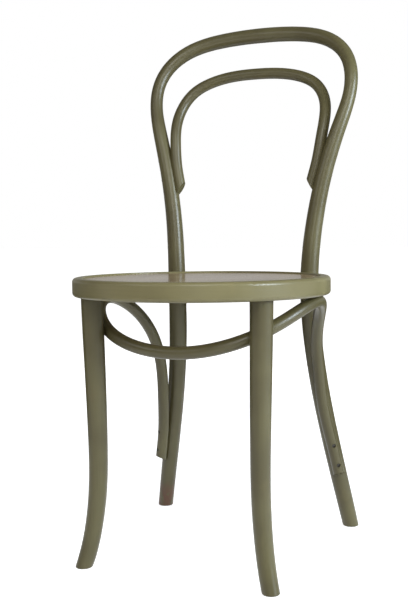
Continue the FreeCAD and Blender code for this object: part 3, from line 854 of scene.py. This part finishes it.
def slotted_screws(node, tree, settings, steel):
    """Makes one mesh of screws that stands for a CAD node of screws."""
    lines = [screw_line(corners) for corners in loose_solids(node)]
    places = bpy.data.meshes.new(node + "_places")
    places.from_pydata([start for start, _, _ in lines], [], [])
    places.attributes.new("way", "FLOAT_VECTOR", "POINT")
    places.attributes.new("length", "FLOAT", "POINT")
    for index, (_, way, length) in enumerate(lines):
        places.attributes["way"].data[index].vector = way
        places.attributes["length"].data[index].value = length
    holder = bpy.data.objects.new(node + "_places", places)
    bpy.context.scene.collection.objects.link(holder)
    modifier = holder.modifiers.new("screws", "NODES")
    modifier.node_group = tree
    # Each size of the tree has the name of its setting; the steel alone has none
    for socket in tree.interface.items_tree:
        if socket.in_out == "INPUT" and socket.name != "Places":
            setting = socket.name.lower().replace(" ", "_")
            modifier[socket.identifier] = getattr(settings, setting, steel)
    view = bpy.context.evaluated_depsgraph_get()
    mesh = bpy.data.meshes.new_from_object(holder.evaluated_get(view), depsgraph=view)
    bpy.data.objects.remove(holder)
    mesh.materials.clear()
    mesh.materials.append(steel)
    for face in mesh.polygons:
        face.material_index = 0
    mesh.shade_smooth()
    mesh.set_sharp_from_angle(angle=math.radians(SHARP_ANGLE))
    screws = bpy.data.objects.new("slotted_" + node, mesh)
    bpy.context.scene.collection.objects.link(screws)
    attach(screws, BODY)
    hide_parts(node)


class CHAIR_OT_drive_screws(bpy.types.Operator):
    """Sets slotted screws with real threads where the CAD has its screws"""

    bl_idname = "chair.drive_screws"
    bl_label = "Drive Screws"

    def execute(self, context):
        steel = steel_finish("screw_steel", context.scene.chair_hardware)
        tree = screw_tree()
        for node in SCREW_NODES:
            slotted_screws(node, tree, context.scene.chair_screws, steel)
        return {"FINISHED"}


# Stage


def area_light(name, place, target, size, power, colour=(1.0, 1.0, 1.0)):
    """A rectangular lamp that faces a point."""
    lamp = bpy.data.lights.new(name, "AREA")
    lamp.shape = "RECTANGLE"
    lamp.size, lamp.size_y = size
    lamp.energy = power
    lamp.color = colour
    holder = bpy.data.objects.new(name, lamp)
    bpy.context.scene.collection.objects.link(holder)
    holder.location = place
    holder.rotation_euler = (target - place).to_track_quat("-Z", "Y").to_euler()
    return holder


def around(middle, azimuth, elevation, distance):
    """A place round the chair: azimuth 0 is in front, 90 on the right."""
    turn = math.radians(azimuth)
    rise = math.radians(elevation)
    level = math.cos(rise)
    way = Vector((math.sin(turn) * level, -math.cos(turn) * level, math.sin(rise)))
    return middle + way * distance


def background_share(sheet):
    """1 on rays that should see white: from the camera, mirrored or through glass."""
    path = sheet.node("ShaderNodeLightPath").outputs
    direct = sheet.maths("MAXIMUM", path["Is Camera Ray"], path["Is Glossy Ray"])
    return sheet.maths("MAXIMUM", direct, path["Is Transmission Ray"])


def room_light(strength):
    """An even grey room that the camera sees as white."""
    world = bpy.data.worlds.new("white_room")
    bpy.context.scene.world = world
    world.use_nodes = True
    sheet = NodeSheet(world.node_tree)
    sheet.tree.nodes.clear()
    output = sheet.node("ShaderNodeOutputWorld")
    seen = sheet.made("ShaderNodeBackground", Color=WHITE, Strength=1.0)
    lit = sheet.made("ShaderNodeBackground", Color=WHITE, Strength=strength)
    mix = sheet.node("ShaderNodeMixShader", Fac=background_share(sheet))
    sheet.link(lit, mix.inputs[1])
    sheet.link(seen, mix.inputs[2])
    sheet.link(mix.outputs[0], output.inputs["Surface"])


def screen_wall(azimuths, distance):
    """The points and faces of an upright screen round the chair."""
    points = []
    for azimuth in azimuths:
        foot = around(Vector(), azimuth, 0, distance)
        points += [foot, foot + Vector((0.0, 0.0, SCREEN_HEIGHT))]
    faces = [(2 * k, 2 * k + 2, 2 * k + 3, 2 * k + 1) for k in range(len(azimuths) - 1)]
    return points, faces


def screen_material(settings):
    """Grey that glows, palest at the seat's height and darkest near the floor."""
    sheet = Finish("screen_grey")
    height = sheet.split(sheet.place)[2]
    grey, pale = settings.screen_grey, settings.screen_pale
    rise = sheet.ramp(height, *SCREEN_RISE, settings.screen_low, pale)
    fall = sheet.ramp(height, *SCREEN_FALL, 0.0, pale - grey)
    sheet.give(
        Base_Color=BLACK, Specular_IOR_Level=0.0, Emission_Color=WHITE,
        Emission_Strength=sheet.maths("SUBTRACT", rise, fall))
    return sheet.material


def staged_mesh(name, points, faces, material):
    """A plain mesh of the stage, which is no part of the chair."""
    mesh = bpy.data.meshes.new(name)
    mesh.from_pydata(points, [], faces)
    mesh.materials.append(material)
    piece = bpy.data.objects.new(name, mesh)
    bpy.context.scene.collection.objects.link(piece)
    return piece


def level_square(half, height):
    """The points and the face of a level square over the origin."""
    points = [(x * half, y * half, height) for x, y in ((-1, -1), (1, -1), (1, 1), (-1, 1))]
    return points, [(0, 1, 2, 3)]


def dark_screens(settings):
    """Grey screens round the chair and overhead that only show as reflections in the paint."""
    material = screen_material(settings)
    for name, (points, faces) in (
            ("far_screen", screen_wall(*FAR_SCREEN)),
            ("near_screen", screen_wall(*NEAR_SCREEN)),
            ("roof_screen", level_square(FAR_SCREEN[1], SCREEN_HEIGHT))):
        screen = staged_mesh(name, points, faces, material)
        for kind in ("camera", "diffuse", "transmission", "shadow"):
            setattr(screen, "visible_" + kind, False)


def floor_material():
    """A plain pale floor that the camera sees as white, with the chair's shadow kept on it."""
    sheet = Finish("pale_floor")
    lift = sheet.ramp(
        sheet.radius_from((0.0, 0.0)), *FLOOR_LIFT_RADII, FLOOR_LIFT, FAR_FLOOR_LIFT)
    mottle = sheet.ramp(sheet.noise(sheet.place, *FLOOR_MOTTLE), *FLOOR_RAMP)
    sheet.give(
        Base_Color=sheet.blend(mottle, *FLOOR_GREYS), Roughness=FLOOR_ROUGHNESS,
        Specular_IOR_Level=FLOOR_SPECULAR, Emission_Color=WHITE,
        Emission_Strength=sheet.times(background_share(sheet), lift))
    return sheet.material


def photo_camera(scene):
    """The camera at the photograph's viewing angle."""
    lens = bpy.data.cameras.new("photo_camera")
    lens.lens = CAMERA_LENS
    lens.sensor_width = CAMERA_SENSOR
    lens.clip_end = CAMERA_REACH
    camera = bpy.data.objects.new("photo_camera", lens)
    scene.collection.objects.link(camera)
    forward = Vector(CAMERA_FORWARD).normalized()
    right = Vector(CAMERA_RIGHT)
    right = (right - forward * right.dot(forward)).normalized()
    up = right.cross(forward)
    turn = Matrix((right, up, -forward)).transposed()
    place = Vector(CAMERA_PLACE) + Vector((0.0, SEAT_CENTRE.y, 0.0))
    camera.matrix_world = Matrix.Translation(place) @ turn.to_4x4()
    scene.camera = camera


class CHAIR_OT_build_stage(bpy.types.Operator):
    """Lays the floor, sets the lamps and screens and places the camera"""

    bl_idname = "chair.build_stage"
    bl_label = "Build Stage"

    def execute(self, context):
        settings = context.scene.chair_stage
        staged_mesh("pale_floor", *level_square(settings.floor_size / 2, 0.0), floor_material())
        middle = Vector((0.0, SEAT_CENTRE.y, CHAIR_HEIGHT / 2))
        posts = Vector((0.0, POSTS_DEPTH, CHAIR_HEIGHT * POSTS_SHARE))
        area_light(
            "strip_light", around(middle, *STRIP_STAND), posts, STRIP_SIZE,
            settings.strip_light, STRIP_COLOUR)
        for name, stand, size in LAMPS:
            lamp = area_light(
                name, around(middle, *stand), middle, size, getattr(settings, name))
            # The lamp behind only fills, so it gives no gloss
            lamp.visible_glossy = name != "back_light"
        dark_screens(settings)
        room_light(settings.sky)
        photo_camera(context.scene)
        context.scene.view_settings.view_transform = "Standard"
        return {"FINISHED"}


class CHAIR_PT_sidebar(bpy.types.Panel):
    """Sizes, colours and steps of the chair's finish"""

    bl_idname = "CHAIR_PT_sidebar"
    bl_label = "Bentwood Chair"
    bl_space_type = "VIEW_3D"
    bl_region_type = "UI"
    bl_category = "Chair"

    def draw(self, context):
        for group, kind, steps in STEPS:
            settings = getattr(context.scene, group)
            box = self.layout.box()
            for name in kind.__annotations__:
                box.prop(settings, name)
            for step in steps:
                box.operator(step.bl_idname)


STEPS = (
    ("chair_paint", ChairPaintSettings, (CHAIR_OT_paint_rods, CHAIR_OT_paint_legs)),
    ("chair_ring", ChairRingLitPaintSettings, (CHAIR_OT_paint_ring,)),
    ("chair_panel", ChairPanelSettings, (CHAIR_OT_paint_panel,)),
    ("chair_hardware", ChairHardwareSettings, (CHAIR_OT_finish_steel,)),
    ("chair_screws", ChairScrewSettings, (CHAIR_OT_drive_screws,)),
    ("chair_stage", ChairStageSettings, (CHAIR_OT_build_stage,)),
)
CLASSES = (
    tuple(kind for _, kind, _ in STEPS)
    + tuple(step for _, _, steps in STEPS for step in steps)
    + (CHAIR_PT_sidebar,))


def register():
    for kind in CLASSES:
        bpy.utils.register_class(kind)
    for group, kind, _ in STEPS:
        setattr(bpy.types.Scene, group, PointerProperty(type=kind))


def unregister():
    for group, _, _ in STEPS:
        delattr(bpy.types.Scene, group)
    for kind in reversed(CLASSES):
        bpy.utils.unregister_class(kind)


def main():
    register()
    bpy.ops.chair.paint_rods()
    bpy.ops.chair.paint_legs()
    bpy.ops.chair.paint_ring()
    bpy.ops.chair.paint_panel()
    bpy.ops.chair.finish_steel()
    bpy.ops.chair.drive_screws()
    bpy.ops.chair.build_stage()


if __name__ == "__main__":
    main()
